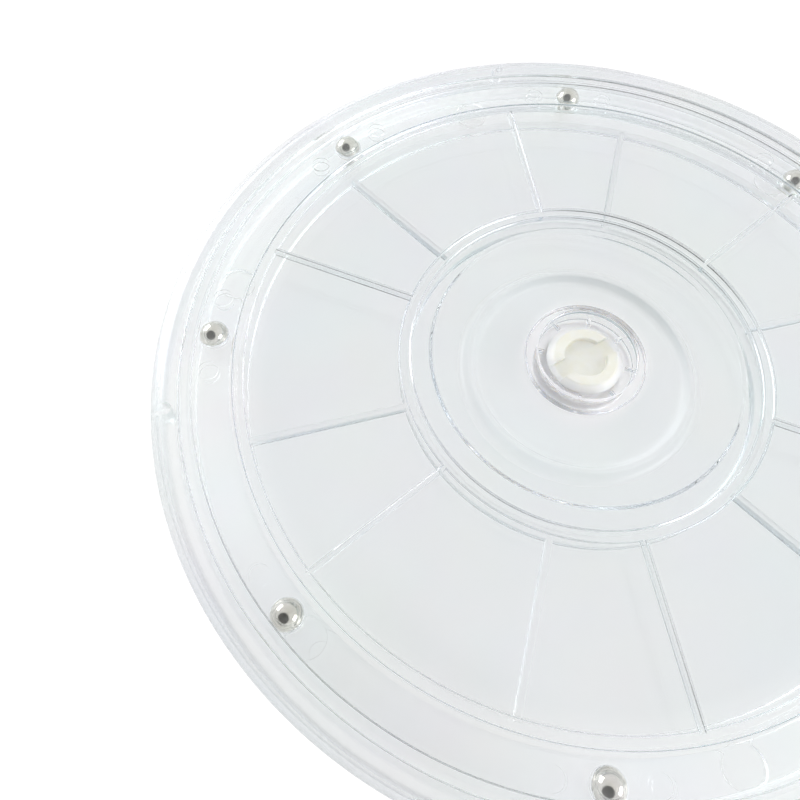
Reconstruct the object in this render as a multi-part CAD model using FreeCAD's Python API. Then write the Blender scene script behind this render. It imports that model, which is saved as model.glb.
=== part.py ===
import FreeCAD, Part
import math
import os

# Turntable base of a tool storage caddy, in clear moulded plastic.
# Two ribbed discs face each other, a caged ring of steel balls rolls between them,
# and a split snap pin holds the pair together at the hub.
# Millimetres, +Z up, origin on the table under the hub.

# Overall sizes
PLATE_R = 117.5         # outside of the turning plate
EDGE_ROUND = 4.5        # rounded shoulder of the plate
SKIRT_T = 2.5           # wall of the skirt that hides the gap
SKIRT_ROUND = 1.8       # inside round where the skirt meets the floor
SKIRT_LIFT = 3.4        # skirt's lower edge above the table
SKIRT_GAP = 2.8         # radial gap from the skirt to the base
FLOOR_T = 2.2           # floor of both discs

# Ball bearing
BALL_R = 4.0
BALL_COUNT = 8
BALL_ANGLE = 29.0       # first ball, degrees from +X
TRACK_INSET = 14.5      # from the plate's outside in to the circle of the ball centres
TRACK_HALF = 7.0        # half the width of the track with its outer wall
TRACK_FLOOR = 2.4       # plastic left behind the flat track
TRACK_PLAY = 0.1        # play between a ball and the track
TRACK_SIDE = 3.9        # from the circle of the ball centres out to the track's outer wall
DISC_GAP = 3.8          # gap between the discs' facing rings

# Ball cage
CAGE_GAP = 0.7          # cage to either disc
CAGE_WALL = 1.35        # plastic left beside a ball pocket
CAGE_EDGE = 0.4         # bevel on the cage's edges
POCKET_PLAY = 0.15      # play between a ball and its pocket
PAD_R = 2.8             # round ejector pads on either side of each pocket
PAD_H = 0.35
PAD_ANGLE = 6.5         # pads lie this far round from the ball, degrees

# Rings and ribs, alike on both discs
STEP_W = 2.8            # low step inside the track ring
STEP_H = 1.2
RING_R = 51.3           # outside of the middle ring
RING_T = 2.8
RIB_COUNT = 6
RIB_T = 1.2
RIB_SEAT = 0.6          # how far a rib's ends and foot run into what carries them
PLATE_RIB_ANGLE = 11.7  # first rib of the plate, degrees from +X
BASE_RIB_ANGLE = 47.4   # first rib of the base, degrees from +X
EDGE_BEVEL = 0.35       # bevel on the free edges of the rings

# Plate centre
BOSS_R = 42.9           # thicker middle of the plate
BOSS_H = 1.0
CUP_R = 13.5            # cup that the pin's tip snaps into
CUP_T = 3.0
CUP_DEPTH = 4.4
CUP_BEVEL = 0.6         # bevel round the cup's mouth
LEDGE_T = 1.8           # ledge under the pin's barbs
GUSSET_COUNT = 8
GUSSET_T = 0.8
GUSSET_H = 1.2
GUSSET_CLEAR = 0.8      # barbs to the gussets
GUSSET_ANGLE = 20.0     # first gusset, degrees from +X

# Tilt stops inside the skirt
LUG_COUNT = 4
LUG_R = 1.8
LUG_REACH = 0.6         # how far a lug reaches over the base's edge
LUG_GAP = 0.4           # lug to the base
LUG_ANGLE = 41.7        # first lug, degrees from +X

# Pivot pin and the base's hub
PIN_R = 9.6
PIN_PLAY = 0.1          # running clearance in the plate's ledge
PIN_SEAT = 0.05         # clearance in the base's hub
FLANGE_R = 12.0
FLANGE_T = 1.8
FLANGE_SINK = 0.2       # flange below the base's underside, and its side clearance
BARB_CATCH = 1.0        # how far a barb reaches past the shaft
BARB_GAP = 0.3          # barb to the ledge
BARB_LAND = 0.5
BARB_H = 2.1
TIP_R = 8.6
TIP_BORE_R = 5.9        # round recess in the tip
TIP_DEPTH = 1.4
TIP_WEB = 2.2           # plastic left under the recess
CORE_R = 6.4            # hollow up from the flange
NOTCH_W = 4.8           # the two splits in the tip
NOTCH_ANGLE = 61.0      # degrees from +X
HUB_T = 3.9             # wall of the base's hub round the pin
HUB_GAP = 0.3           # base's hub to the plate's ledge
HUB_RING_R = 32.4       # ring round the base's hub
HUB_RING_T = 2.2

# Feet
FOOT_COUNT = 6
FOOT_R = 5.0
FOOT_FIT = 0.1
FOOT_PROUD = 1.6        # how far the feet hold the base off the table
FOOT_SINK = 0.8         # recess that a foot is set into
FOOT_ROUND = 0.6
FOOT_ANGLE = 17.4       # first foot, degrees from +X

# Levels, from the table up
base_bottom = FOOT_PROUD
ball_z = base_bottom + TRACK_FLOOR + TRACK_PLAY + BALL_R
base_floor = base_bottom + FLOOR_T
base_face = ball_z - DISC_GAP / 2
plate_face = ball_z + DISC_GAP / 2
plate_top = ball_z + BALL_R + TRACK_PLAY + TRACK_FLOOR
plate_floor = plate_top - FLOOR_T
plate_track = ball_z + BALL_R + TRACK_PLAY
base_track = ball_z - BALL_R - TRACK_PLAY
ledge_top = plate_top - CUP_DEPTH
ledge_bottom = ledge_top - LEDGE_T
cage_top = plate_face - CAGE_GAP
cage_bottom = base_face + CAGE_GAP

# Radii that follow from the sizes above
base_r = PLATE_R - SKIRT_T - SKIRT_GAP
skirt_in = PLATE_R - SKIRT_T
track_r = PLATE_R - TRACK_INSET
track_in = track_r - TRACK_HALF
track_out = track_r + TRACK_HALF
track_wall = track_r + TRACK_SIDE
step_in = track_in - STEP_W
ring_in = RING_R - RING_T
cage_half = BALL_R + POCKET_PLAY + CAGE_WALL
barb_r = PIN_R + BARB_CATCH

AXIS = FreeCAD.Vector(0, 0, 1)
CENTRE = FreeCAD.Vector(0, 0, 0)


def at(radius, z, degrees=0.0):
    """Point at a radius and height, turned about the axis."""
    turn = math.radians(degrees)
    return FreeCAD.Vector(radius * math.cos(turn), radius * math.sin(turn), z)


def spots(count, first):
    """Evenly spaced angles round the axis."""
    return [first + 360.0 * i / count for i in range(count)]


def corner(before, point, after, size, rounded):
    """The cut that a bevelled or rounded corner makes: its two ends and its edge."""
    towards = before - point
    away = after - point
    half = towards.getAngle(away) / 2
    reach = size / math.tan(half) if rounded else size
    start = point + towards.normalize() * reach
    end = point + away.normalize() * reach
    if not rounded:
        return start, end, Part.makeLine(start, end)
    centre = point + (towards + away).normalize() * (size / math.sin(half))
    middle = centre + (point - centre).normalize() * size
    return start, end, Part.Arc(start, middle, end).toShape()


def turned(section):
    """Turn a closed section about the axis. Each corner is (radius, z), with the size of a
    bevel as a third value where it has one, or of a round if "round" follows it."""
    points = [FreeCAD.Vector(c[0], 0, c[1]) for c in section]
    edges = []
    ends = []
    for i, c in enumerate(section):
        if len(c) == 2:
            ends.append((points[i], points[i], None))
            continue
        after = points[(i + 1) % len(points)]
        ends.append(corner(points[i - 1], points[i], after, c[2], len(c) == 4))
    for i, (start, end, edge) in enumerate(ends):
        if edge:
            edges.append(edge)
        edges.append(Part.makeLine(end, ends[(i + 1) % len(ends)][0]))
    return Part.Face(Part.Wire(edges)).revolve(CENTRE, AXIS, 360)


def radial_bar(r_in, r_out, z_low, z_high, thick, degrees):
    """Upright bar that runs outwards from the axis."""
    bar = Part.makeBox(r_out - r_in, thick, z_high - z_low, FreeCAD.Vector(r_in, -thick / 2, z_low))
    bar.rotate(CENTRE, AXIS, degrees)
    return bar


def post(radius, z_low, z_high, reach, degrees):
    """Upright round post at a radius from the axis."""
    return Part.makeCylinder(radius, z_high - z_low, at(reach, z_low, degrees))


def joined(body, extras):
    """One solid from a body and what is moulded on to it."""
    return body.fuse(extras).removeSplitter()


def turntable_plate():
    """Upper disc: flat top, rounded shoulder and skirt, with rings and ribs on its underside."""
    body = turned([
        (CUP_R, plate_top, CUP_BEVEL),
        (PLATE_R, plate_top, EDGE_ROUND, "round"),
        (PLATE_R, SKIRT_LIFT, EDGE_BEVEL),
        (skirt_in, SKIRT_LIFT, EDGE_BEVEL),
        (skirt_in, plate_floor, SKIRT_ROUND, "round"),
        (track_out, plate_floor),
        (track_out, plate_face, EDGE_BEVEL),
        (track_wall, plate_face, EDGE_BEVEL),
        (track_wall, plate_track),
        (track_in, plate_track),
        (track_in, plate_floor - STEP_H, EDGE_BEVEL),
        (step_in, plate_floor - STEP_H, EDGE_BEVEL),
        (step_in, plate_floor),
        (RING_R, plate_floor),
        (RING_R, plate_face, EDGE_BEVEL),
        (ring_in, plate_face, EDGE_BEVEL),
        (ring_in, plate_floor),
        (BOSS_R, plate_floor),
        (BOSS_R, plate_floor - BOSS_H, EDGE_BEVEL),
        (CUP_R + CUP_T, plate_floor - BOSS_H),
        (CUP_R + CUP_T, ledge_bottom, EDGE_BEVEL),
        (PIN_R + PIN_PLAY, ledge_bottom),
        (PIN_R + PIN_PLAY, ledge_top),
        (CUP_R, ledge_top),
    ])
    ribs = [
        radial_bar(RING_R - RIB_SEAT, step_in + RIB_SEAT, plate_face, plate_floor + RIB_SEAT, RIB_T, a)
        for a in spots(RIB_COUNT, PLATE_RIB_ANGLE)
    ]
    lug_reach = base_r - LUG_REACH + LUG_R
    lugs = [
        post(LUG_R, base_face + LUG_GAP, plate_floor + RIB_SEAT, lug_reach, a)
        for a in spots(LUG_COUNT, LUG_ANGLE)
    ]
    gussets = [
        radial_bar(barb_r + GUSSET_CLEAR, CUP_R + RIB_SEAT, ledge_top - RIB_SEAT, ledge_top + GUSSET_H,
                   GUSSET_T, a)
        for a in spots(GUSSET_COUNT, GUSSET_ANGLE)
    ]
    return joined(body, ribs + lugs + gussets)


def base_plate():
    """Lower disc: flat underside, with the same rings and ribs standing up, and the pin's hub."""
    hub_top = ledge_bottom - HUB_GAP
    seat_top = base_bottom + FLANGE_SINK + FLANGE_T
    body = turned([
        (PIN_R + PIN_SEAT, hub_top),
        (PIN_R + HUB_T, hub_top, EDGE_BEVEL),
        (PIN_R + HUB_T, base_floor),
        (HUB_RING_R - HUB_RING_T, base_floor),
        (HUB_RING_R - HUB_RING_T, base_face, EDGE_BEVEL),
        (HUB_RING_R, base_face, EDGE_BEVEL),
        (HUB_RING_R, base_floor),
        (ring_in, base_floor),
        (ring_in, base_face, EDGE_BEVEL),
        (RING_R, base_face, EDGE_BEVEL),
        (RING_R, base_floor),
        (step_in, base_floor),
        (step_in, base_floor + STEP_H, EDGE_BEVEL),
        (track_in, base_floor + STEP_H, EDGE_BEVEL),
        (track_in, base_track),
        (track_wall, base_track),
        (track_wall, base_face, EDGE_BEVEL),
        (base_r, base_face, EDGE_BEVEL),
        (base_r, base_bottom, EDGE_BEVEL),
        (FLANGE_R + FLANGE_SINK, base_bottom),
        (FLANGE_R + FLANGE_SINK, seat_top),
        (PIN_R + PIN_SEAT, seat_top),
    ])
    recesses = [
        post(FOOT_R + FOOT_FIT, base_bottom - FOOT_SINK, base_bottom + FOOT_SINK, track_r, a)
        for a in spots(FOOT_COUNT, FOOT_ANGLE)
    ]
    ribs = [
        radial_bar(RING_R - RIB_SEAT, step_in + RIB_SEAT, base_floor - RIB_SEAT, base_face, RIB_T, a)
        for a in spots(RIB_COUNT, BASE_RIB_ANGLE)
    ]
    return joined(body.cut(recesses), ribs)


def ball_cage():
    """Flat ring with a round pocket for each ball, and small ejector pads beside the pockets."""
    body = turned([
        (track_r - cage_half, cage_bottom, CAGE_EDGE),
        (track_r + cage_half, cage_bottom, CAGE_EDGE),
        (track_r + cage_half, cage_top, CAGE_EDGE),
        (track_r - cage_half, cage_top, CAGE_EDGE),
    ])
    balls = spots(BALL_COUNT, BALL_ANGLE)
    pads = [
        post(PAD_R, cage_bottom - PAD_H, cage_top + PAD_H, track_r, a + side * PAD_ANGLE)
        for a in balls for side in (-1, 1)
    ]
    pockets = [Part.makeSphere(BALL_R + POCKET_PLAY, at(track_r, ball_z, a)) for a in balls]
    return joined(body, pads).cut(pockets)


def bearing_ball(degrees):
    """One steel ball on the track."""
    return Part.makeSphere(BALL_R, at(track_r, ball_z, degrees))


def pivot_pin():
    """Flanged pin with a barbed tip. Two notches split the tip's rim, and its shaft is hollow below."""
    flange_bottom = base_bottom + FLANGE_SINK
    barb_z = ledge_top + BARB_GAP
    tip_z = barb_z + BARB_H
    core_top = tip_z - TIP_DEPTH - TIP_WEB
    body = turned([
        (CORE_R, flange_bottom),
        (FLANGE_R, flange_bottom, EDGE_BEVEL),
        (FLANGE_R, flange_bottom + FLANGE_T),
        (PIN_R, flange_bottom + FLANGE_T),
        (PIN_R, barb_z),
        (barb_r, barb_z),
        (barb_r, barb_z + BARB_LAND),
        (TIP_R, tip_z, EDGE_BEVEL),
        (TIP_BORE_R, tip_z, EDGE_BEVEL),
        (TIP_BORE_R, tip_z - TIP_DEPTH),
        (0, tip_z - TIP_DEPTH),
        (0, core_top),
        (CORE_R, core_top),
    ])
    notch = radial_bar(-2 * barb_r, 2 * barb_r, tip_z - TIP_DEPTH, tip_z + TIP_DEPTH, NOTCH_W, NOTCH_ANGLE)
    return body.cut(notch)


def foot_pad(degrees):
    """Clear silicone foot, set into the base's underside."""
    pad = turned([
        (0, 0),
        (FOOT_R, 0, FOOT_ROUND),
        (FOOT_R, FOOT_PROUD + FOOT_SINK),
        (0, FOOT_PROUD + FOOT_SINK),
    ])
    pad.translate(at(track_r, 0, degrees))
    return pad


os.makedirs("parts", exist_ok=True)
nodes = {
    "turntable_plate": turntable_plate(),
    "base_plate": base_plate(),
    "ball_cage": ball_cage(),
    "pivot_pin": pivot_pin(),
}
for i, angle in enumerate(spots(BALL_COUNT, BALL_ANGLE)):
    nodes[f"bearing_ball_{i + 1}"] = bearing_ball(angle)
for i, angle in enumerate(spots(FOOT_COUNT, FOOT_ANGLE)):
    nodes[f"foot_pad_{i + 1}"] = foot_pad(angle)

for name, shape in nodes.items():
    shape.exportStep(f"parts/{name}.step")
    print(name, "valid" if shape.isValid() else "INVALID", len(shape.Solids), round(shape.Volume, 1))
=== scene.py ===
import math

import bmesh
import bpy
from bpy.props import FloatProperty, FloatVectorProperty, IntProperty, PointerProperty
from mathutils import Euler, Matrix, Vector


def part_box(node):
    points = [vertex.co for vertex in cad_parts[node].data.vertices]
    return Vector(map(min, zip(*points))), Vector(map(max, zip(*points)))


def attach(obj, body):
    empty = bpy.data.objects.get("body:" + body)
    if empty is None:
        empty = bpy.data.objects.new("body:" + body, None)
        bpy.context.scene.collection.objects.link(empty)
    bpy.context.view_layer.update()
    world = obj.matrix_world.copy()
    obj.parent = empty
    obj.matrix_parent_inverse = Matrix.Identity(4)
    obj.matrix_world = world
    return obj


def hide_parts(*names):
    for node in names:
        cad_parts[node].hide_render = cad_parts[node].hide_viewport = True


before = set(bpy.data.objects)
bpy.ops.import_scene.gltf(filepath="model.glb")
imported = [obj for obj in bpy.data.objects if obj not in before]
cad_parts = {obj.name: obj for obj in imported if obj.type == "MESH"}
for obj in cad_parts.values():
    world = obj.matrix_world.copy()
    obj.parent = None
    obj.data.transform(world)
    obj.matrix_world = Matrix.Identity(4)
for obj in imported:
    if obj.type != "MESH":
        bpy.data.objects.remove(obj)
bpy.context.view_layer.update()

bl_info = {
    "name": "Clear Turntable Base",
    "version": (1, 0, 0),
    "blender": (4, 5, 0),
    "location": "View3D > Sidebar > Turntable",
    "description": "Clear ball-bearing turntable base of a tool caddy, dressed around its solids",
    "category": "Object",
}

MM = 0.001

# How finely the shapes are made
AXIS_GAP = 0.5 * MM         # radius of the small circle that a turned section is swept round
FINE_ROUND = 0.5            # mm, rounds up to this size get few facets
EDGE_HOLD = 0.06            # mm of flat kept beside each round, so that flats shade flat
WELD = 0.0004 * MM
CREASE = math.radians(34)   # an edge that bends more than this stays sharp
PIN_SEGMENTS = 160
FOOT_SEGMENTS = 64
BALL_CUTS = 25              # points along the edge of the cube that a ball is rounded from

# Heights that both discs share, mm
FLOOR_THICK = 2.2
RIB_DEPTH = 2.4             # rings and ribs, from a disc's floor
STEP_DEPTH = 1.2            # step on the inner side of the ball track
TRACK_DEPTH = 0.2           # ball track, from a disc's floor

# Radii and widths that both discs share, mm
TRACK_HALF = 7.0            # from the ball centres to the edges of the track's band
TRACK_SIDE = 3.9            # from the ball centres to the track's upright outer wall
TRACK_ROOT = 0.4            # round at the foot of that wall
STEP_REACH = 9.8            # from the ball centres to the inner side of the step
RING_WALL = 2.8
RIB_SEAT = 0.6              # how far a rib's ends and foot run into what carries them
BORE_ROUND = 0.2

# Plate, mm
SHOULDER = 4.5
SKIRT_WALL = 2.5
SKIRT_LOW = 3.4
SKIRT_ROUND = 0.5
SKIRT_ROOT = 1.8
BOSS_RADIUS = 42.4          # thicker middle of the plate
BOSS_RISE = 1.0
BOSS_ROUND = 1.0
CUP_RADIUS = 13.5
CUP_WALL = 3.0
CUP_DEPTH = 4.4
CUP_ROUND = 0.6
LEDGE_HOLE = 9.7
LEDGE_THICK = 1.8
LEDGE_ROUND = 0.3
LUG_COUNT = 4
LUG_ANGLE = math.radians(41.7)
LUG_INSET = 4.1             # from the plate's outside to a lug's middle
LUG_LOW = 6.6
LUG_ROOT_R = 1.8
LUG_TIP_R = 1.72
GUSSET_COUNT = 8
GUSSET_ANGLE = math.radians(20.0)
GUSSET_INNER = 11.4
GUSSET_RISE = 1.2
GUSSET_THICK = 0.8
GUSSET_ROUND = 0.25

# Base, mm
BASE_INSET = 5.3            # from the plate's outside to the base's
BASE_LOW = 1.6
HUB_RADIUS = 13.5
HUB_TOP = 8.1
HUB_BORE = 9.65
FLANGE_BORE = 12.2
FLANGE_BORE_DEPTH = 2.0
HUB_RING_FOOT = (29.0, 33.6)
HUB_RING_CROWN = (30.7, 31.9)
HUB_RING_ROOT = 2.0
HUB_RING_ROUND = 0.8
HOLLOW_RADIUS = 5.1         # recess for a foot
HOLLOW_SPAN = (0.8, 2.4)

# Cage, mm
CAGE_HALF = 5.5             # half of its width
CAGE_LOW, CAGE_HIGH = 6.9, 9.3
CAGE_ROUND = 0.9
POCKET_PLAY = 0.15
PAD_ROOT_R = 2.8
PAD_TIP_R = 2.7
PAD_RISE = 0.35
PAD_TURN = math.radians(6.5)   # from a ball to the pads beside it

# Snap pin and feet, mm
NOTCH_WIDTH = 4.8
NOTCH_ANGLE = math.radians(61.0)
NOTCH_SPAN = (40.0, 3.0)    # length and height of the slab that cuts the notch
FOOT_RADIUS = 5.0
FOOT_HIGH = 2.38
FOOT_ROUNDS = (0.6, 0.2)    # at the table and at the top

# Bands of radius or height, in metres, over which a finish changes
# Across this band the clear plastic's tint is partly painted reflection and shade: darker over the ribbed
# field, paler over the ball track.
TINT_BAND = (94.0 * MM, 124.0 * MM)       # from the ribbed field over the ball track to the rim
TRACK_STOPS = (0.35, 0.68)                # stretch of that band with the track's own tint
RIM_BAND = (105.0 * MM, 112.5 * MM)
# Inside this band the clear plastic is painted paler, as painted light in the hub.
HUB_PAINTED_LIGHT_BAND = (18.5 * MM, 16.5 * MM)
BASE_HUB_BAND = (36.0 * MM, 33.0 * MM)
RAISED_BAND = (4.1 * MM, 4.6 * MM)        # height at which the base's ribs and rings leave its floor
# Outside the tip that these bound, the snap pin's nylon is painted paler, as painted light.
TIP_HEIGHTS = (9.5 * MM, 11.0 * MM)
TIP_BAND = (9.2 * MM, 8.6 * MM)

# Roughness of the clear pieces, from clean to handled
PLATE_HAZE = (0.008, 0.035)
BASE_HAZE = (0.10, 0.17)
CAGE_HAZE = (0.03, 0.08)
BASE_HUB_FROST = 0.34
BASE_RIB_FROST = 0.4
LAMP_PASS = (0.985, 0.985, 0.985, 1.0)    # what a clear wall leaves of a lamp's light

# Stage
FLOOR_DROP = -0.05 * MM     # hair's breadth under the feet, so that neither face hides the other
FLOOR_WHITE = 1.06          # a little over white, so that only the object's own shadow shows
CAMERA_SIDE = (0.0, -0.55, 0.84)          # middle of the dark part of the room
DARK_EDGE = math.radians(44)
DARK_CORE = math.radians(29)
LIGHT_BOUNCES = 64          # light crosses many clear walls

PLATE_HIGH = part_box("turntable_plate")[1]
BALL_LOW, BALL_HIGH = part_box("bearing_ball_1")


def metres(name, description, default):
    """A size in metres."""
    return FloatProperty(name=name, description=description, default=default,
                         unit="LENGTH", subtype="DISTANCE", precision=5)


def length(name, description, default_mm):
    """A size whose default is written in mm."""
    return metres(name, description, default_mm * MM)


def angle(name, description, degrees):
    """An angle about the hub's axis."""
    return FloatProperty(name=name, description=description, default=math.radians(degrees),
                         unit="ROTATION", subtype="ANGLE")


def share(name, description, default, high=1.0):
    """A plain factor."""
    return FloatProperty(name=name, description=description, default=default, min=0.0, max=high)


def colour(name, description, default):
    """A colour, linear."""
    return FloatVectorProperty(name=name, description=description, default=default, size=3,
                               min=0.0, max=1.0, subtype="COLOR")


def power(name, description, default):
    """A lamp's light."""
    return FloatProperty(name=name, description=description, default=default, unit="POWER")


class TurntableSizes(bpy.types.PropertyGroup):
    """Sizes of the clear discs, their rings, ribs and bearing."""

    plate_radius: metres("Plate Radius", "Outside of the turning plate", PLATE_HIGH.x)
    plate_top: metres("Plate Top", "Height of the plate's flat top over the table", PLATE_HIGH.z)
    ball_radius: metres("Ball Radius", "Radius of a bearing ball", (BALL_HIGH.z - BALL_LOW.z) / 2)
    ball_height: metres("Ball Height", "Height of the ball centres", (BALL_HIGH.z + BALL_LOW.z) / 2)
    track_radius: length("Track Radius", "Circle that the ball centres follow", 103.0)
    ring_radius: length("Ring Radius", "Outside of the middle ring", 51.3)
    rib_thickness: length("Rib Thickness", "Thickness of the plate's ribs", 1.2)
    rib_root: length("Rib Root", "Thickness of the base's ribs with their draft", 1.8)
    rib_crown: length("Rib Crown", "Round along the top of the base's ribs", 0.5)
    edge_round: length("Edge Round", "Round on the free edges of rings and of the plate's ribs", 0.35)
    root_round: length("Root Round", "Round where a ring meets a floor", 0.3)
    rib_count: IntProperty(name="Ribs", description="Radial ribs on each disc", default=6, min=1)
    plate_rib_angle: angle("Plate Rib Angle", "First rib of the plate, from +X", 11.7)
    base_rib_angle: angle("Base Rib Angle", "First rib of the base, from +X", 47.4)
    ball_count: IntProperty(name="Balls", description="Balls in the bearing", default=8, min=3)
    ball_angle: angle("Ball Angle", "First ball, from +X", 29.0)
    foot_count: IntProperty(name="Feet", description="Feet under the base", default=6, min=3)
    foot_angle: angle("Foot Angle", "First foot, from +X", 17.4)
    segments: IntProperty(name="Segments", description="Facets round a turned disc", default=480, min=32)


class TurntableFinishes(bpy.types.PropertyGroup):
    """Colours and gloss of the materials."""

    # These tints are partly the plastic's own faint tint and partly painted reflection and shade: darker over
    # the ribbed field, paler over the ball track and in the hub, bluish grey at the rim, with blotches of
    # painted shade and reflection.
    plastic: colour("Plastic", "Tint of the clear plastic within the ribbed field", (0.967, 0.975, 0.978))
    track_tint_painted_light: colour("Plastic Track", "Tint of the clear plastic over the ball track",
                          (0.991, 0.996, 0.998))
    rim_tint_painted_reflection: colour("Plastic Rim", "Tint of the clear plastic at the rim", (0.970, 0.977, 0.985))
    hub_tint_painted_light: colour("Plastic Hub", "Tint of the clear plastic in the hub's thin walls",
                        (0.996, 0.996, 1.0))
    mottle: share("Mottle", "Swing of the faint blotches in the clear plastic's tint", 0.022)
    rim_frost: share("Rim Frost", "Haze that the textured skirt adds to the clear plastic", 0.22)
    plastic_ior: share("Plastic IOR", "Refraction of the clear discs", 1.57, 2.5)
    cage_ior: share("Cage IOR", "Refraction of the slippery clear cage", 1.28, 2.5)
    nylon: colour("Nylon", "Natural nylon of the snap pin's tip", (0.87, 0.862, 0.80))
    # Painted light: the barb, flare and shaft are painted paler than the tip, standing in for light reaching
    # them through the plastic.
    nylon_painted_light: colour("Nylon Shaft", "Paler nylon of the thin barb and shaft", (0.97, 0.965, 0.93))
    # Painted reflection: the steel is tinted warm, standing in for warm surroundings seen in the balls.
    steel: colour("Steel", "Polished steel of the balls", (0.76, 0.735, 0.685))
    silicone_clear: share("Silicone Clear", "How much of the feet is seen straight through", 0.9)
    silicone: colour("Silicone", "Clear silicone of the feet", (1.0, 1.0, 1.0))


class TurntableStage(bpy.types.PropertyGroup):
    """Camera, floor and light."""

    camera_place: FloatVectorProperty(
        name="Camera Place", description="Where the camera stands", size=3, subtype="TRANSLATION",
        unit="LENGTH", default=(0.0, -0.105033, 0.170983))
    camera_turn: FloatVectorProperty(
        name="Camera Turn", description="How the camera is turned", size=3, subtype="EULER",
        unit="ROTATION", default=(math.radians(25.1473), math.radians(-1.9923), math.radians(32.6815)))
    lens: FloatProperty(name="Lens", description="Focal length on a 36 mm sensor", default=29.914,
                        unit="CAMERA")
    floor_radius: length("Floor Radius", "Radius of the pale floor", 1500.0)
    floor_shade: share("Floor Shade", "Share of the floor's white that takes the object's shadow", 0.12)
    floor_passed: share("Floor Through Glass", "Level of the floor in gloss and through glass", 0.90)
    panel_power: power("Panel Power", "Light from each soft panel", 2.6)
    fill_power: power("Fill Power", "Light from the fill overhead", 6.5)
    room: share("Room", "Level of the room overhead, which gloss and glass show", 0.85)
    camera_side: share("Camera Side", "How much of that is left where the camera stands", 0.06)


def outline(corners):
    """Outline of (radius, height) points in mm, from corners that may carry a round as a third value."""
    points = []
    for i, spot in enumerate(corners):
        here = Vector(spot[:2])
        if len(spot) < 3:
            points.append(here)
            continue
        to_last = (Vector(corners[i - 1][:2]) - here).normalized()
        to_next = (Vector(corners[(i + 1) % len(corners)][:2]) - here).normalized()
        half = to_last.angle(to_next) / 2
        reach = spot[2] / math.tan(half)
        centre = here + (to_last + to_next).normalized() * (spot[2] / math.sin(half))
        start = here + to_last * reach - centre
        sweep = math.pi - 2 * half
        side = 1 if start.cross(here + to_next * reach - centre) > 0 else -1
        steps = 2 if spot[2] <= FINE_ROUND else 4 if spot[2] < 4 * FINE_ROUND else 8
        points.append(here + to_last * (reach + EDGE_HOLD))
        for k in range(steps + 1):
            turn = side * sweep * k / steps
            points.append(centre + Vector((start.x * math.cos(turn) - start.y * math.sin(turn),
                                           start.x * math.sin(turn) + start.y * math.cos(turn))))
        points.append(here + to_next * (reach + EDGE_HOLD))
    return points


def section_mesh(name, corners):
    """Section as a line of edges, left open on the axis: across for the radius, down for the height."""
    points = outline(corners)
    area = sum(a.cross(b) for a, b in zip(points, points[1:] + points[:1]))
    if area > 0:
        points.reverse()
    on_axis = [i for i in range(len(points)) if points[i - 1].x == 0 and points[i].x == 0]
    if on_axis:
        points = points[on_axis[0]:] + points[:on_axis[0]]
    mesh = bpy.data.meshes.new(name)
    spots = [(p.x * MM - AXIS_GAP, -p.y * MM, 0.0) for p in points]
    edges = [(i, i + 1) for i in range(len(points) - 1)]
    if not on_axis:
        edges.append((len(points) - 1, 0))
    mesh.from_pydata(spots, edges, [])
    return mesh


def node_adder(tree):
    """A function that adds a node to a tree: values are linked if they are sockets and set if they aren't."""
    def add(kind, values=None, **settings):
        node = tree.nodes.new(kind)
        for key, value in settings.items():
            setattr(node, key, value)
        for key, value in (values or {}).items():
            if isinstance(value, bpy.types.NodeSocket):
                tree.links.new(value, node.inputs[key])
            else:
                node.inputs[key].default_value = value
        return node

    return add


def maths(add, operation, *values):
    """Result of a Math node."""
    return add("ShaderNodeMath", dict(enumerate(values)), operation=operation).outputs[0]


NUMBER_INPUT = "NodeSocketFloat"
COUNT_INPUT = "NodeSocketInt"
MATERIAL_INPUT = "NodeSocketMaterial"
RIB_INPUTS = {
    "Rib Count": COUNT_INPUT, "Rib Angle": NUMBER_INPUT, "Rib Inner": NUMBER_INPUT,
    "Rib Outer": NUMBER_INPUT, "Rib Low": NUMBER_INPUT, "Rib High": NUMBER_INPUT,
    "Rib Thickness": NUMBER_INPUT, "Rib Round": NUMBER_INPUT}


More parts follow.
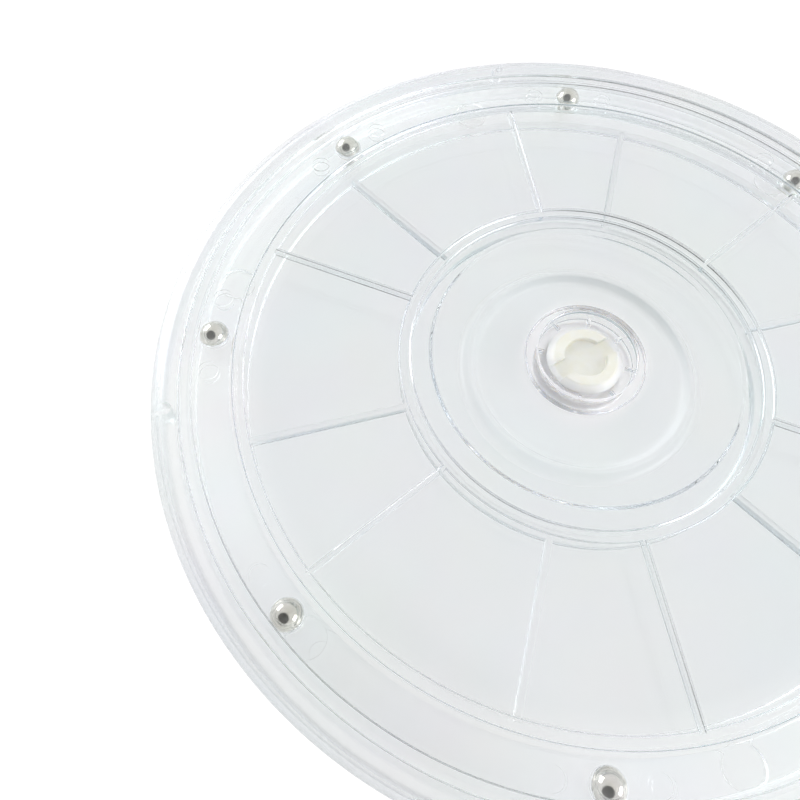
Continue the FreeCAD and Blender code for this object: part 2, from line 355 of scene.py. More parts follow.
class Tree:
    """A Geometry Nodes tree that is built up in code, with named inputs."""

    def __init__(self, name, inputs):
        self.group = bpy.data.node_groups.new(name, "GeometryNodeTree")
        self.group.is_modifier = True
        face = self.group.interface
        face.new_socket("Geometry", in_out="INPUT", socket_type="NodeSocketGeometry")
        self.sockets = {}
        for label, kind in inputs.items():
            self.sockets[label] = face.new_socket(label, in_out="INPUT", socket_type=kind)
        face.new_socket("Geometry", in_out="OUTPUT", socket_type="NodeSocketGeometry")
        self.source = self.group.nodes.new("NodeGroupInput")
        self.end = self.group.nodes.new("NodeGroupOutput")
        self.add = node_adder(self.group)

    def __getitem__(self, label):
        return self.source.outputs[label]

    def vector(self, x=0.0, y=0.0, z=0.0):
        """Vector of numbers or sockets."""
        return self.add("ShaderNodeCombineXYZ", {0: x, 1: y, 2: z}).outputs[0]

    def turned(self):
        """Sweeps the piece's own section round the axis and closes it."""
        section = self.add("GeometryNodeMeshToCurve", {0: self["Geometry"]})
        path = self.add("GeometryNodeCurvePrimitiveCircle",
                        {"Resolution": self["Segments"], "Radius": AXIS_GAP}, mode="RADIUS")
        swept = self.add("GeometryNodeCurveToMesh",
                         {"Curve": path.outputs[0], "Profile Curve": section.outputs[0]})
        welded = self.add("GeometryNodeMergeByDistance", {"Geometry": swept.outputs[0], "Distance": WELD})
        return welded.outputs[0]

    def bar(self, inner, outer, low, high, thick, edge):
        """Upright radial bar on +X with rounded long edges."""
        middle = maths(self.add, "MULTIPLY", maths(self.add, "ADD", low, high), 0.5)
        line = self.add("GeometryNodeCurvePrimitiveLine",
                        {"Start": self.vector(inner, 0.0, middle), "End": self.vector(outer, 0.0, middle)})
        quad = self.add("GeometryNodeCurvePrimitiveQuadrilateral",
                        {"Width": thick, "Height": maths(self.add, "SUBTRACT", high, low)})
        soft = self.add("GeometryNodeFilletCurve",
                        {"Curve": quad.outputs[0], "Radius": edge, "Count": 4}, mode="POLY")
        body = self.add("GeometryNodeCurveToMesh",
                        {"Curve": line.outputs[0], "Profile Curve": soft.outputs[0], "Fill Caps": True})
        return body.outputs[0]

    def ribs(self):
        """Radial ribs of a disc, from the tree's rib inputs."""
        bar = self.bar(self["Rib Inner"], self["Rib Outer"], self["Rib Low"], self["Rib High"],
                       self["Rib Thickness"], self["Rib Round"])
        return self.ring_of(bar, self["Rib Count"], self["Rib Angle"])

    def peg(self, bottom_radius, top_radius, low, high, reach, sides=48):
        """Upright round peg, at a distance along +X."""
        body = self.add("GeometryNodeMeshCone", {"Vertices": sides, "Radius Top": top_radius,
                                                 "Radius Bottom": bottom_radius,
                                                 "Depth": maths(self.add, "SUBTRACT", high, low)})
        return self.moved(body.outputs[0], self.vector(reach, 0.0, low))

    def ball(self, radius, reach, height, rings=48):
        """Round hollow for a ball, at a distance along +X."""
        body = self.add("GeometryNodeMeshUVSphere", {"Segments": 2 * rings, "Rings": rings, "Radius": radius})
        return self.moved(body.outputs[0], self.vector(reach, 0.0, height))

    def moved(self, geometry, place, turn=None):
        """Geometry moved, and turned where a turn is given."""
        values = {"Geometry": geometry, "Translation": place}
        if turn is not None:
            values["Rotation"] = turn
        return self.add("GeometryNodeTransform", values).outputs[0]

    def ring_of(self, part, count, first):
        """Copies of a part, evenly spaced round the axis."""
        points = self.add("GeometryNodePoints", {"Count": count})
        index = self.add("GeometryNodeInputIndex").outputs[0]
        step = maths(self.add, "DIVIDE", 2 * math.pi, count)
        turn = maths(self.add, "ADD", first, maths(self.add, "MULTIPLY", index, step))
        copies = self.add("GeometryNodeInstanceOnPoints",
                          {"Points": points.outputs[0], "Instance": part, "Rotation": self.vector(z=turn)})
        return self.add("GeometryNodeRealizeInstances", {0: copies.outputs[0]}).outputs[0]

    def joined(self, body, *parts):
        """Union of a body and its parts."""
        node = self.add("GeometryNodeMeshBoolean", operation="UNION", solver="MANIFOLD")
        for part in (body, *parts):
            self.group.links.new(part, node.inputs["Mesh 2"])
        return node.outputs[0]

    def cut(self, body, part):
        """Body with a part cut out of it."""
        node = self.add("GeometryNodeMeshBoolean", {"Mesh 1": body, "Mesh 2": part},
                        operation="DIFFERENCE", solver="MANIFOLD")
        return node.outputs[0]

    def close(self, geometry):
        """Smooth faces with creases kept, one plain mesh, one material."""
        bend = self.add("GeometryNodeInputMeshEdgeAngle").outputs["Unsigned Angle"]
        soft = self.add("FunctionNodeCompare", {0: bend, 1: CREASE}, operation="LESS_THAN")
        faces = self.add("GeometryNodeSetShadeSmooth", {"Geometry": geometry, "Shade Smooth": True},
                         domain="FACE")
        edges = self.add("GeometryNodeSetShadeSmooth",
                         {"Geometry": faces.outputs[0], "Shade Smooth": soft.outputs[0]}, domain="EDGE")
        plain = self.add("GeometryNodeRealizeInstances", {0: edges.outputs[0]})
        finish = self.add("GeometryNodeSetMaterial",
                          {"Geometry": plain.outputs[0], "Material": self["Material"]})
        self.group.links.new(finish.outputs[0], self.end.inputs[0])


def grown(name, section, tree, values):
    """Runs a tree on a section and keeps the result as a plain mesh object at the origin."""
    mesh = section if section is not None else bpy.data.meshes.new(name + "_seed")
    maker = bpy.data.objects.new(name + "_maker", mesh)
    bpy.context.scene.collection.objects.link(maker)
    modifier = maker.modifiers.new("Build", "NODES")
    modifier.node_group = tree.group
    for label, value in values.items():
        modifier[tree.sockets[label].identifier] = value
    graph = bpy.context.evaluated_depsgraph_get()
    made = bpy.data.meshes.new_from_object(maker.evaluated_get(graph), depsgraph=graph)
    maker.modifiers.remove(modifier)
    bpy.data.objects.remove(maker)
    made.name = name
    piece = bpy.data.objects.new(name, made)
    bpy.context.scene.collection.objects.link(piece)
    if not made.polygons:
        raise RuntimeError(f"{name} came out empty")
    return piece


def dress(piece, body, node):
    """The piece stands for its CAD node and moves with its body."""
    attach(piece, body)
    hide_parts(node)


def empty_material(name):
    """A material with only its output, and a function that adds nodes to it."""
    material = bpy.data.materials.new(name)
    material.use_nodes = True
    tree = material.node_tree
    tree.nodes.remove(tree.nodes["Principled BSDF"])
    return material, node_adder(tree)


def show(material, shade):
    """Makes a shader the material's surface."""
    tree = material.node_tree
    tree.links.new(shade.outputs[0], tree.nodes["Material Output"].inputs["Surface"])


def shader(name, kind="ShaderNodeBsdfPrincipled"):
    """A material with one shader, functions that add nodes and link to it, and the place on the piece."""
    material, add = empty_material(name)
    main = add(kind)
    show(material, main)

    def link(source, key):
        material.node_tree.links.new(source, main.inputs[key])

    place = add("ShaderNodeTexCoord").outputs["Object"]
    return material, main, add, link, place


def ramp(add, source, stops):
    """Colour ramp with the given (position, colour) stops, the ends first."""
    node = add("ShaderNodeValToRGB", {0: source})
    for i, (spot, tone) in enumerate(stops):
        stop = node.color_ramp.elements[i] if i < 2 else node.color_ramp.elements.new(spot)
        stop.position = spot
        stop.color = (*tone, 1.0)
    return node.outputs[0]


def noise(add, place, scale, detail, seed=None):
    """Noise texture, with a seed where like pieces should differ."""
    values = {"Vector": place, "Scale": scale, "Detail": detail}
    if seed is None:
        return add("ShaderNodeTexNoise", values)
    return add("ShaderNodeTexNoise", {**values, "W": seed}, noise_dimensions="4D")


def spread(add, value, band, start=0.0, end=1.0):
    """Runs from start to end as the value crosses a band."""
    return add("ShaderNodeMapRange", {"Value": value, "From Min": band[0], "From Max": band[1],
                                      "To Min": start, "To Max": end}).outputs[0]


def blended(add, amount, first, second):
    """Blend of two colours."""
    return add("ShaderNodeMix", {0: amount, 6: first, 7: second}, data_type="RGBA").outputs[2]


def from_axis(add, place):
    """Distance from the hub's axis."""
    flat = add("ShaderNodeVectorMath", {0: place, 1: (1.0, 1.0, 0.0)}, operation="MULTIPLY").outputs[0]
    return add("ShaderNodeVectorMath", {0: flat}, operation="LENGTH").outputs["Value"]


def toned(tone, red, green, blue):
    """A tone with each part scaled."""
    return (tone[0] * red, tone[1] * green, tone[2] * blue)


def let_lamps_through(material, main, add):
    """Clear stuff casts only a thin shadow."""
    path = add("ShaderNodeLightPath").outputs["Is Shadow Ray"]
    open_way = add("ShaderNodeBsdfTransparent", {"Color": LAMP_PASS})
    show(material, add("ShaderNodeMixShader", {0: path, 1: main.outputs[0], 2: open_way.outputs[0]}))


def tint_with_painted_reflection(add, look, place, reach, seed):
    """Tint that changes from the hub to the rim, with a wandering border and faint blotches: painted
    reflection and shade on top of the plastic's own faint tint, darker over the ribbed field, paler over the
    ball track and in the hub, with faint darker and lighter blotches.
    """
    drift = noise(add, place, 16.0, 3.0, seed).outputs[0]
    across = spread(add, maths(add, "MULTIPLY_ADD", drift, 12.0 * MM, reach), TINT_BAND)
    tint = ramp(add, across, [(0.0, look.plastic), (1.0, look.rim_tint_painted_reflection),
                              *((stop, look.track_tint_painted_light) for stop in TRACK_STOPS)])
    # Painted light: the tint is made paler in the hub.
    tint_with_hub_painted_light = blended(add, spread(add, reach, HUB_PAINTED_LIGHT_BAND), tint, (*look.hub_tint_painted_light, 1.0))
    # Painted shade and reflection: faint darker and lighter blotches.
    blotch_painted_shade = noise(add, place, 38.0, 2.0, seed + 5.0).outputs["Color"]
    shift = add("ShaderNodeVectorMath", {0: blotch_painted_shade, 1: (look.mottle,) * 3, 2: (-look.mottle / 2,) * 3},
                operation="MULTIPLY_ADD").outputs[0]
    return add("ShaderNodeVectorMath", {0: tint_with_hub_painted_light, 1: shift}, operation="ADD").outputs[0]


def plastic_haze(add, look, place, reach, seed, haze, hub_frost, rib_frost):
    """Roughness: handling haze all over, and frost at the rim, in the hub and on raised ribs."""
    patches = noise(add, place, 55.0, 4.0, seed + 3.0).outputs[0]
    rough = spread(add, patches, (0.35, 0.75), *haze)
    dulled = maths(add, "ADD", rough, spread(add, reach, RIM_BAND, 0.0, look.rim_frost))
    inner = spread(add, reach, BASE_HUB_BAND, 0.0, hub_frost)
    height = add("ShaderNodeSeparateXYZ", {0: place}).outputs[2]
    raised = spread(add, height, RAISED_BAND, 0.0, rib_frost)
    return maths(add, "ADD", dulled, maths(add, "MAXIMUM", inner, raised))


def clear_plastic(name, look, seed, ior, haze, hub_frost=0.0, rib_frost=0.0):
    """Clear moulded styrene: faint flow waves, hair scratches and handling haze."""
    material, main, add, link, place = shader(name, "ShaderNodeBsdfGlass")
    main.inputs["IOR"].default_value = ior
    let_lamps_through(material, main, add)
    reach = from_axis(add, place)
    # The colour carries painted reflection and shade, zone by zone.
    link(tint_with_painted_reflection(add, look, place, reach, seed), "Color")
    link(plastic_haze(add, look, place, reach, seed, haze, hub_frost, rib_frost), "Roughness")
    waves = noise(add, place, 28.0, 1.0, seed + 7.0).outputs[0]
    stretch = add("ShaderNodeMapping", {"Vector": place, "Rotation": (0.0, 0.0, 0.7 + seed),
                                        "Scale": (26.0, 620.0, 90.0)}).outputs[0]
    hairs = noise(add, stretch, 1.0, 2.0).outputs[0]
    lines = spread(add, hairs, (0.66, 0.72), 0.0, 0.012)
    bump = add("ShaderNodeBump", {"Height": maths(add, "ADD", waves, lines), "Strength": 0.015,
                                  "Distance": 0.6 * MM})
    link(bump.outputs[0], "Normal")
    return material


def natural_nylon(name, look):
    """Unpigmented nylon: creamy at the tip and painted paler on the barb, flare and shaft as painted light,
    with mottling and a fine moulded skin.
    """
    material, main, add, link, place = shader(name)
    main.inputs["IOR"].default_value = 1.53
    main.inputs["Subsurface Weight"].default_value = 0.8
    main.inputs["Subsurface Scale"].default_value = 5.0 * MM
    main.inputs["Subsurface Radius"].default_value = (1.0, 0.9, 0.75)
    main.inputs["Transmission Weight"].default_value = 0.3
    mottle = noise(add, place, 260.0, 4.0).outputs[0]
    cream = ramp(add, mottle, [(0.36, toned(look.nylon, 0.97, 0.965, 0.92)), (0.62, look.nylon)])
    height = add("ShaderNodeSeparateXYZ", {0: place}).outputs[2]
    on_tip = maths(add, "MULTIPLY", spread(add, height, TIP_HEIGHTS),
                   spread(add, from_axis(add, place), TIP_BAND))
    # Painted light: off the tip the nylon takes the paler colour.
    link(blended(add, on_tip, (*look.nylon_painted_light, 1.0), cream), "Base Color")
    skin = noise(add, place, 900.0, 3.0).outputs[0]
    link(spread(add, skin, (0.3, 0.7), 0.3, 0.46), "Roughness")
    bump = add("ShaderNodeBump", {"Height": skin, "Strength": 0.18, "Distance": 0.2 * MM})
    link(bump.outputs[0], "Normal")
    return material


def ball_steel(name, look):
    """Lapped steel ball: mirror bright and tinted warm as painted reflection, with faint lapping lines and
    grease smears.
    """
    material, main, add, link, place = shader(name)
    main.inputs["Metallic"].default_value = 1.0
    smear = noise(add, place, 420.0, 3.0).outputs[0]
    # The warm steel colour is painted reflection; the darker smears are grease.
    link(ramp(add, smear, [(0.38, toned(look.steel, 0.9, 0.9, 0.88)), (0.6, look.steel)]), "Base Color")
    link(spread(add, smear, (0.3, 0.75), 0.03, 0.11), "Roughness")
    stretch = add("ShaderNodeMapping", {"Vector": place, "Scale": (900.0, 120.0, 5200.0)}).outputs[0]
    laps = noise(add, stretch, 1.0, 2.0).outputs[0]
    bump = add("ShaderNodeBump", {"Height": laps, "Strength": 0.03, "Distance": 0.1 * MM})
    link(bump.outputs[0], "Normal")
    return material


def clear_silicone(name, look):
    """Soft clear silicone, seen straight through, with a faint gloss and a cloudy tint."""
    material, main, add, link, place = shader(name, "ShaderNodeBsdfGlass")
    main.inputs["IOR"].default_value = 1.41
    main.inputs["Roughness"].default_value = 0.05
    cloud = noise(add, place, 300.0, 3.0).outputs[0]
    tint = ramp(add, cloud, [(0.4, look.silicone), (0.7, toned(look.silicone, 0.997, 0.997, 0.996))])
    link(tint, "Color")
    open_way = add("ShaderNodeBsdfTransparent", {"Color": tint})
    show(material, add("ShaderNodeMixShader",
                       {0: look.silicone_clear, 1: main.outputs[0], 2: open_way.outputs[0]}))
    return material


def material_of(name, maker, *details):
    """The named material, made the first time it is asked for."""
    return bpy.data.materials.get(name) or maker(name, *details)


class TURNTABLE_OT_plate(bpy.types.Operator):
    """Build the clear turning plate with its shoulder, skirt, rings, ribs, lugs and hub cup"""

    bl_idname = "turntable.plate"
    bl_label = "Turning Plate"

    def execute(self, context):
        size = context.scene.turntable_sizes
        look = context.scene.turntable_finishes
        r, top = size.plate_radius / MM, size.plate_top / MM
        track, ring = size.track_radius / MM, size.ring_radius / MM
        edge, root = size.edge_round / MM, size.root_round / MM
        floor = top - FLOOR_THICK
        face, step, race = floor - RIB_DEPTH, floor - STEP_DEPTH, floor - TRACK_DEPTH
        ledge = top - CUP_DEPTH
        section = section_mesh("plate_section", [
            (CUP_RADIUS, top, CUP_ROUND),
            (r, top, SHOULDER),
            (r, SKIRT_LOW, SKIRT_ROUND),
            (r - SKIRT_WALL, SKIRT_LOW, SKIRT_ROUND),
            (r - SKIRT_WALL, floor, SKIRT_ROOT),
            (track + TRACK_HALF, floor, root),
            (track + TRACK_HALF, face, edge),
            (track + TRACK_SIDE, face, edge),
            (track + TRACK_SIDE, race, TRACK_ROOT),
            (track - TRACK_HALF, race, root),
            (track - TRACK_HALF, step, edge),
            (track - STEP_REACH, step, edge),
            (track - STEP_REACH, floor, root),
            (ring, floor, root),
            (ring, face, edge),
            (ring - RING_WALL, face, edge),
            (ring - RING_WALL, floor, root),
            (BOSS_RADIUS + BOSS_RISE, floor, BOSS_ROUND),
            (BOSS_RADIUS, floor - BOSS_RISE, BOSS_ROUND),
            (CUP_RADIUS + CUP_WALL, floor - BOSS_RISE, root),
            (CUP_RADIUS + CUP_WALL, ledge - LEDGE_THICK, edge),
            (LEDGE_HOLE, ledge - LEDGE_THICK, BORE_ROUND),
            (LEDGE_HOLE, ledge, BORE_ROUND),
            (CUP_RADIUS, ledge, LEDGE_ROUND),
        ])
        tree = Tree("Turning Plate", {
            "Segments": COUNT_INPUT, **RIB_INPUTS, "Lug Reach": NUMBER_INPUT, "Lug Low": NUMBER_INPUT,
            "Gusset Low": NUMBER_INPUT, "Gusset High": NUMBER_INPUT, "Material": MATERIAL_INPUT})
        lug = tree.peg(LUG_TIP_R * MM, LUG_ROOT_R * MM, tree["Lug Low"], tree["Rib High"], tree["Lug Reach"])
        lugs = tree.ring_of(lug, LUG_COUNT, LUG_ANGLE)
        gusset = tree.bar(GUSSET_INNER * MM, (CUP_RADIUS + RIB_SEAT) * MM, tree["Gusset Low"],
                          tree["Gusset High"], GUSSET_THICK * MM, GUSSET_ROUND * MM)
        gussets = tree.ring_of(gusset, GUSSET_COUNT, GUSSET_ANGLE)
        tree.close(tree.joined(tree.turned(), tree.ribs(), lugs, gussets))
        piece = grown("turning_plate", section, tree, {
            "Segments": size.segments, "Rib Count": size.rib_count, "Rib Angle": size.plate_rib_angle,
            "Rib Inner": (ring - RIB_SEAT) * MM, "Rib Outer": (track - STEP_REACH + RIB_SEAT) * MM,
            "Rib Low": face * MM, "Rib High": (floor + RIB_SEAT) * MM, "Rib Thickness": size.rib_thickness,
            "Rib Round": size.edge_round, "Lug Reach": (r - LUG_INSET) * MM, "Lug Low": LUG_LOW * MM,
            "Gusset Low": (ledge - RIB_SEAT) * MM, "Gusset High": (ledge + GUSSET_RISE) * MM,
            "Material": material_of("clear_plate", clear_plastic, look, 0.0, look.plastic_ior, PLATE_HAZE)})
        dress(piece, "plate", "turntable_plate")
        return {"FINISHED"}


class TURNTABLE_OT_base(bpy.types.Operator):
    """Build the clear base disc with its rings, ribs, ball track, foot recesses and hub"""

    bl_idname = "turntable.base"
    bl_label = "Base Disc"

    def execute(self, context):
        size = context.scene.turntable_sizes
        look = context.scene.turntable_finishes
        r = size.plate_radius / MM - BASE_INSET
        track, ring = size.track_radius / MM, size.ring_radius / MM
        edge, root = size.edge_round / MM, size.root_round / MM
        floor = BASE_LOW + FLOOR_THICK
        face, step, race = floor + RIB_DEPTH, floor + STEP_DEPTH, floor + TRACK_DEPTH
        section = section_mesh("base_section", [
            (HUB_BORE, HUB_TOP, BORE_ROUND),
            (HUB_RADIUS, HUB_TOP, edge),
            (HUB_RADIUS, floor, root),
            (HUB_RING_FOOT[0], floor, HUB_RING_ROOT),
            (HUB_RING_CROWN[0], face, HUB_RING_ROUND),
            (HUB_RING_CROWN[1], face, HUB_RING_ROUND),
            (HUB_RING_FOOT[1], floor, HUB_RING_ROOT),
            (ring - RING_WALL, floor, root),
            (ring - RING_WALL, face, edge),
            (ring, face, edge),
            (ring, floor, root),
            (track - STEP_REACH, floor, root),
            (track - STEP_REACH, step, edge),
            (track - TRACK_HALF, step, edge),
            (track - TRACK_HALF, race, root),
            (track + TRACK_SIDE, race, TRACK_ROOT),
            (track + TRACK_SIDE, face, edge),
            (r, face, edge),
            (r, BASE_LOW, edge),
            (FLANGE_BORE, BASE_LOW, BORE_ROUND),
            (FLANGE_BORE, BASE_LOW + FLANGE_BORE_DEPTH, BORE_ROUND),
            (HUB_BORE, BASE_LOW + FLANGE_BORE_DEPTH, BORE_ROUND),
        ])
        tree = Tree("Base Disc", {
            "Segments": COUNT_INPUT, **RIB_INPUTS, "Foot Count": COUNT_INPUT, "Foot Angle": NUMBER_INPUT,
            "Foot Reach": NUMBER_INPUT, "Material": MATERIAL_INPUT})
        hollow = tree.peg(HOLLOW_RADIUS * MM, HOLLOW_RADIUS * MM, HOLLOW_SPAN[0] * MM, HOLLOW_SPAN[1] * MM,
                          tree["Foot Reach"], FOOT_SEGMENTS)
        hollows = tree.ring_of(hollow, tree["Foot Count"], tree["Foot Angle"])
        tree.close(tree.joined(tree.cut(tree.turned(), hollows), tree.ribs()))
        piece = grown("base_disc", section, tree, {
            "Segments": size.segments, "Rib Count": size.rib_count, "Rib Angle": size.base_rib_angle,
            "Rib Inner": (ring - RIB_SEAT) * MM, "Rib Outer": (track - STEP_REACH + RIB_SEAT) * MM,
            "Rib Low": (floor - RIB_SEAT) * MM, "Rib High": face * MM, "Rib Thickness": size.rib_root,
            "Rib Round": size.rib_crown, "Foot Count": size.foot_count, "Foot Angle": size.foot_angle,
            "Foot Reach": size.track_radius,
            "Material": material_of("clear_base", clear_plastic, look, 11.0, look.plastic_ior, BASE_HAZE,
                                    BASE_HUB_FROST, BASE_RIB_FROST)})
        dress(piece, "base", "base_plate")
        return {"FINISHED"}


class TURNTABLE_OT_cage(bpy.types.Operator):
    """Build the clear ball cage with its round pockets and ejector pads"""

    bl_idname = "turntable.cage"
    bl_label = "Ball Cage"

    def execute(self, context):
        size = context.scene.turntable_sizes
        look = context.scene.turntable_finishes
        track = size.track_radius / MM
        middle = (CAGE_LOW + CAGE_HIGH) / 2
        section = section_mesh("cage_section", [
            (track - CAGE_HALF, CAGE_LOW, CAGE_ROUND),
            (track + CAGE_HALF, CAGE_LOW, CAGE_ROUND),
            (track + CAGE_HALF, CAGE_HIGH, CAGE_ROUND),
            (track - CAGE_HALF, CAGE_HIGH, CAGE_ROUND),
        ])
        tree = Tree("Ball Cage", {
            "Segments": COUNT_INPUT, "Ball Count": COUNT_INPUT, "Ball Angle": NUMBER_INPUT,
            "Ball Reach": NUMBER_INPUT, "Ball Height": NUMBER_INPUT, "Pocket Radius": NUMBER_INPUT,
            "Pad Turn": NUMBER_INPUT, "Material": MATERIAL_INPUT})
        pocket = tree.ball(tree["Pocket Radius"], tree["Ball Reach"], tree["Ball Height"])
        pockets = tree.ring_of(pocket, tree["Ball Count"], tree["Ball Angle"])
        pads = []
        for bottom, top, low, high in ((PAD_ROOT_R, PAD_TIP_R, middle, CAGE_HIGH + PAD_RISE),
                                       (PAD_TIP_R, PAD_ROOT_R, CAGE_LOW - PAD_RISE, middle)):
            pad = tree.peg(bottom * MM, top * MM, low * MM, high * MM, tree["Ball Reach"])
            for side in ("ADD", "SUBTRACT"):
                first = maths(tree.add, side, tree["Ball Angle"], tree["Pad Turn"])
                pads.append(tree.ring_of(pad, tree["Ball Count"], first))
        tree.close(tree.cut(tree.joined(tree.turned(), *pads), pockets))
        piece = grown("ball_ring", section, tree, {
            "Segments": size.segments, "Ball Count": size.ball_count, "Ball Angle": size.ball_angle,
            "Ball Reach": size.track_radius, "Ball Height": size.ball_height,
            "Pocket Radius": size.ball_radius + POCKET_PLAY * MM, "Pad Turn": PAD_TURN,
            "Material": material_of("clear_cage", clear_plastic, look, 23.0, look.cage_ior, CAGE_HAZE)})
        dress(piece, "cage", "ball_cage")
        return {"FINISHED"}


class TURNTABLE_OT_balls(bpy.types.Operator):
    """Build the steel bearing balls, one for each pocket"""

    bl_idname = "turntable.balls"
    bl_label = "Bearing Balls"

    def execute(self, context):
        size = context.scene.turntable_sizes
        tree = Tree("Bearing Ball", {
            "Radius": NUMBER_INPUT, "Reach": NUMBER_INPUT, "Height": NUMBER_INPUT, "Turn": NUMBER_INPUT,
            "Material": MATERIAL_INPUT})
        cube = tree.add("GeometryNodeMeshCube", {"Size": (1.0, 1.0, 1.0), "Vertices X": BALL_CUTS,
                                                 "Vertices Y": BALL_CUTS, "Vertices Z": BALL_CUTS})
        place = tree.add("GeometryNodeInputPosition").outputs[0]
        out = tree.add("ShaderNodeVectorMath", {0: place}, operation="NORMALIZE").outputs[0]
        spot = tree.add("ShaderNodeVectorMath", {0: out, "Scale": tree["Radius"]}, operation="SCALE")
        rounded = tree.add("GeometryNodeSetPosition",
                           {"Geometry": cube.outputs[0], "Position": spot.outputs[0]})
        set_out = tree.moved(rounded.outputs[0], tree.vector(tree["Reach"], 0.0, tree["Height"]))
        tree.close(tree.moved(set_out, tree.vector(), tree.vector(z=tree["Turn"])))
        steel = material_of("polished_ball", ball_steel, context.scene.turntable_finishes)
        for i in range(size.ball_count):
            turn = size.ball_angle + 2 * math.pi * i / size.ball_count
            piece = grown(f"steel_ball_{i + 1}", None, tree, {
                "Radius": size.ball_radius, "Reach": size.track_radius, "Height": size.ball_height,
                "Turn": turn, "Material": steel})
            dress(piece, f"ball_{i + 1}", f"bearing_ball_{i + 1}")
        return {"FINISHED"}


class TURNTABLE_OT_pin(bpy.types.Operator):
    """Build the split snap pin that holds the discs together"""

    bl_idname = "turntable.pin"
    bl_label = "Snap Pin"

    def execute(self, context):
        core, shaft, flange, barb, tip, recess = 6.4, 9.6, 12.0, 10.6, 8.6, 5.9
        flange_low, flange_high = 1.8, 3.6
        core_top, recess_floor = 9.0, 11.2
        barb_low, barb_high, top = 10.5, 11.0, 12.6
        section = section_mesh("pin_section", [
            (core, flange_low, 0.25),
            (flange, flange_low, 0.35),
            (flange, flange_high, 0.2),
            (shaft, flange_high, 0.15),
            (shaft, barb_low, 0.1),
            (barb, barb_low, 0.15),
            (barb, barb_high, 0.15),
            (tip, top, 0.45),
            (recess, top, 0.3),
            (recess, recess_floor, 0.25),
            (0.0, recess_floor),
            (0.0, core_top),
            (core, core_top, 0.3),
        ])
        tree = Tree("Snap Pin", {"Segments": COUNT_INPUT, "Notch Width": NUMBER_INPUT,
                                 "Notch Turn": NUMBER_INPUT, "Notch Low": NUMBER_INPUT,
                                 "Material": MATERIAL_INPUT})
        long, tall = NOTCH_SPAN[0] * MM, NOTCH_SPAN[1] * MM
        slab = tree.add("GeometryNodeMeshCube", {"Size": tree.vector(long, tree["Notch Width"], tall)})
        middle = maths(tree.add, "ADD", tree["Notch Low"], tall / 2)
        notch = tree.moved(slab.outputs[0], tree.vector(0.0, 0.0, middle), tree.vector(z=tree["Notch Turn"]))
        tree.close(tree.cut(tree.turned(), notch))
        piece = grown("snap_pin", section, tree, {
            "Segments": PIN_SEGMENTS, "Notch Width": NOTCH_WIDTH * MM, "Notch Turn": NOTCH_ANGLE,
            "Notch Low": recess_floor * MM,
            "Material": material_of("natural_nylon", natural_nylon, context.scene.turntable_finishes)})
        dress(piece, "base", "pivot_pin")
        return {"FINISHED"}


class TURNTABLE_OT_feet(bpy.types.Operator):
    """Build the clear silicone feet set into the base's underside"""

    bl_idname = "turntable.feet"
    bl_label = "Feet"

    def execute(self, context):
        size = context.scene.turntable_sizes
        tree = Tree("Foot", {"Segments": COUNT_INPUT, "Reach": NUMBER_INPUT, "Turn": NUMBER_INPUT,
                             "Material": MATERIAL_INPUT})
        out = tree.moved(tree.turned(), tree.vector(tree["Reach"], 0.0, 0.0))
        tree.close(tree.moved(out, tree.vector(), tree.vector(z=tree["Turn"])))
        soft = material_of("soft_foot", clear_silicone, context.scene.turntable_finishes)
        for i in range(size.foot_count):
            section = section_mesh("foot_section", [
                (0.0, 0.0), (FOOT_RADIUS, 0.0, FOOT_ROUNDS[0]),
                (FOOT_RADIUS, FOOT_HIGH, FOOT_ROUNDS[1]), (0.0, FOOT_HIGH)])
            turn = size.foot_angle + 2 * math.pi * i / size.foot_count
            piece = grown(f"silicone_foot_{i + 1}", section, tree, {
                "Segments": FOOT_SEGMENTS, "Reach": size.track_radius, "Turn": turn, "Material": soft})
            dress(piece, "base", f"foot_pad_{i + 1}")
        return {"FINISHED"}


def stage_floor(stage):
    """Round pale floor. Part of its white takes the object's shadow. The rest is its own, to the camera
    and in gloss and glass, and lights nothing."""
    mesh = bpy.data.meshes.new("floor")
    shape = bmesh.new()
    bmesh.ops.create_circle(shape, cap_ends=True, radius=stage.floor_radius, segments=96)
    shape.to_mesh(mesh)
    shape.free()
    floor = bpy.data.objects.new("floor", mesh)
    floor.location.z = FLOOR_DROP
    bpy.context.scene.collection.objects.link(floor)
    material, add = empty_material("pale_floor")
    material.cycles.emission_sampling = "NONE"
    matte = add("ShaderNodeBsdfDiffuse", {"Color": (stage.floor_shade,) * 3 + (1.0,)})
    path = add("ShaderNodeLightPath").outputs
    passed = maths(add, "MAXIMUM", path["Is Glossy Ray"], path["Is Transmission Ray"])
    dimmed = maths(add, "MULTIPLY", passed, stage.floor_passed - stage.floor_shade)
    level = maths(add, "MULTIPLY_ADD", path["Is Camera Ray"], FLOOR_WHITE - stage.floor_shade, dimmed)
    glow = add("ShaderNodeEmission", {"Color": (1.0, 1.0, 1.0, 1.0), "Strength": level})
    show(material, add("ShaderNodeAddShader", {0: matte.outputs[0], 1: glow.outputs[0]}))
    mesh.materials.append(material)


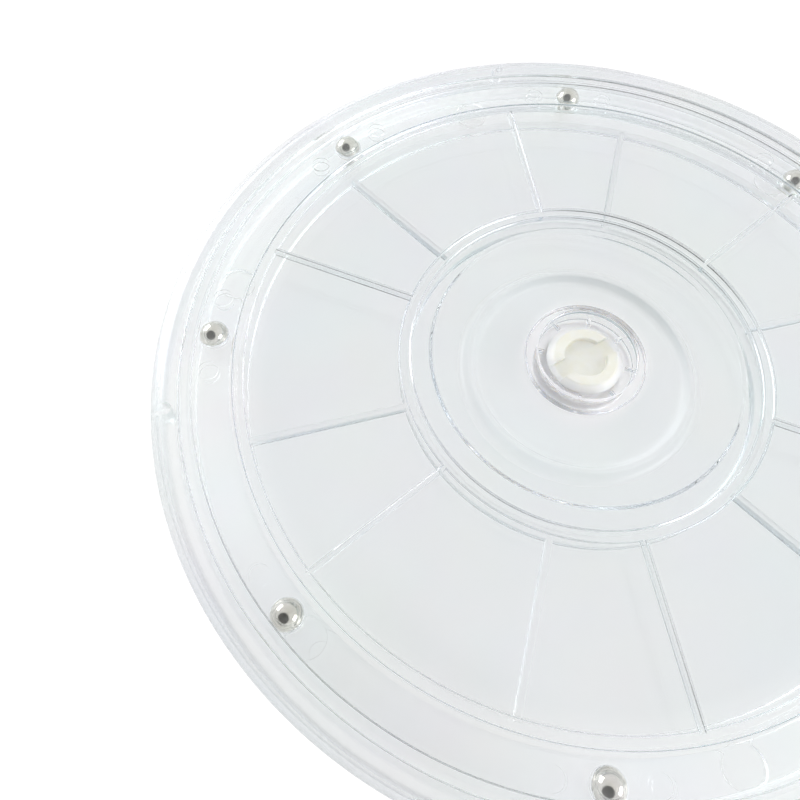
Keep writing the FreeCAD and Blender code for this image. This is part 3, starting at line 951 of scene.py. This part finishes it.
def stage_room(stage):
    """White where the camera looks, and a room for the object: pale low down, greyer overhead,
    and dark in the part that the camera stands in."""
    world = bpy.data.worlds.new("room")
    bpy.context.scene.world = world
    world.use_nodes = True
    tree = world.node_tree
    add = node_adder(tree)
    way = add("ShaderNodeTexCoord").outputs["Generated"]
    up = add("ShaderNodeSeparateXYZ", {0: way}).outputs[2]
    overhead = (stage.room,) * 3
    tones = ramp(add, up, [
        (0.0, (1.0, 1.0, 1.0)), (1.0, toned(overhead, 1.0, 1.0, 0.98)),
        (0.25, (0.95, 0.96, 0.97)), (0.6, toned(overhead, 1.03, 1.04, 1.05))])
    towards = Vector(CAMERA_SIDE).normalized()
    facing = add("ShaderNodeVectorMath", {0: way, 1: towards}, operation="DOT_PRODUCT").outputs["Value"]
    shade = add("ShaderNodeMapRange", {"Value": facing, "From Min": math.cos(DARK_EDGE),
                                       "From Max": math.cos(DARK_CORE), "To Min": 1.0,
                                       "To Max": stage.camera_side}, interpolation_type="SMOOTHSTEP")
    room = add("ShaderNodeVectorMath", {0: tones, "Scale": shade.outputs[0]}, operation="SCALE").outputs[0]
    sight = add("ShaderNodeLightPath").outputs["Is Camera Ray"]
    tree.links.new(blended(add, sight, room, (1.0, 1.0, 1.0, 1.0)), tree.nodes["Background"].inputs["Color"])


def stage_lights(stage):
    """Soft panels low on the left and right, and a fill overhead that gloss and glass don't show."""
    for name, place, wide, tall, energy, shown in (
            ("panel_left", (-0.80, 0.06, 0.34), 0.55, 0.36, stage.panel_power, True),
            ("panel_right", (0.80, 0.10, 0.36), 0.55, 0.36, stage.panel_power, True),
            ("fill", (0.0, -0.05, 1.1), 0.8, 0.8, stage.fill_power, False)):
        data = bpy.data.lights.new(name, "AREA")
        data.shape = "RECTANGLE"
        data.size = wide
        data.size_y = tall
        data.energy = energy
        lamp = bpy.data.objects.new(name, data)
        lamp.location = place
        lamp.rotation_euler = (-Vector(place)).to_track_quat("-Z", "Y").to_euler()
        lamp.visible_glossy = shown
        lamp.visible_transmission = shown
        bpy.context.scene.collection.objects.link(lamp)


def stage_camera(scene, stage):
    """Camera at the photograph's viewing angle."""
    data = bpy.data.cameras.new("camera")
    data.sensor_width = 36.0
    data.lens = stage.lens
    data.clip_start = 0.01
    camera = bpy.data.objects.new("camera", data)
    camera.location = stage.camera_place
    camera.rotation_euler = Euler(stage.camera_turn)
    scene.collection.objects.link(camera)
    scene.camera = camera


class TURNTABLE_OT_stage(bpy.types.Operator):
    """Set up the pale floor, the soft light and the camera"""

    bl_idname = "turntable.stage"
    bl_label = "Stage"

    def execute(self, context):
        scene = context.scene
        stage = scene.turntable_stage
        stage_floor(stage)
        stage_room(stage)
        stage_lights(stage)
        stage_camera(scene, stage)
        scene.view_settings.view_transform = "Standard"
        scene.cycles.max_bounces = LIGHT_BOUNCES
        scene.cycles.transmission_bounces = LIGHT_BOUNCES
        scene.cycles.glossy_bounces = LIGHT_BOUNCES
        scene.cycles.transparent_max_bounces = LIGHT_BOUNCES
        return {"FINISHED"}


class TURNTABLE_PT_panel(bpy.types.Panel):
    """Sizes, finishes and the pieces to build"""

    bl_idname = "TURNTABLE_PT_panel"
    bl_label = "Clear Turntable Base"
    bl_space_type = "VIEW_3D"
    bl_region_type = "UI"
    bl_category = "Turntable"

    def draw(self, context):
        scene = context.scene
        for group in (scene.turntable_sizes, scene.turntable_finishes, scene.turntable_stage):
            box = self.layout.box()
            for name in group.__annotations__:
                box.prop(group, name)
        for step in STEPS:
            self.layout.operator(step.bl_idname)


GROUPS = {"turntable_sizes": TurntableSizes, "turntable_finishes": TurntableFinishes,
          "turntable_stage": TurntableStage}
STEPS = (TURNTABLE_OT_base, TURNTABLE_OT_pin, TURNTABLE_OT_feet, TURNTABLE_OT_cage, TURNTABLE_OT_balls,
         TURNTABLE_OT_plate, TURNTABLE_OT_stage)


def register():
    for item in (*GROUPS.values(), *STEPS, TURNTABLE_PT_panel):
        bpy.utils.register_class(item)
    for name, group in GROUPS.items():
        setattr(bpy.types.Scene, name, PointerProperty(type=group))


def unregister():
    for name in GROUPS:
        delattr(bpy.types.Scene, name)
    for item in reversed((*GROUPS.values(), *STEPS, TURNTABLE_PT_panel)):
        bpy.utils.unregister_class(item)


def main():
    register()
    bpy.ops.turntable.base()
    bpy.ops.turntable.pin()
    bpy.ops.turntable.feet()
    bpy.ops.turntable.cage()
    bpy.ops.turntable.balls()
    bpy.ops.turntable.plate()
    bpy.ops.turntable.stage()
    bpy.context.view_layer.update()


if __name__ == "__main__":
    main()
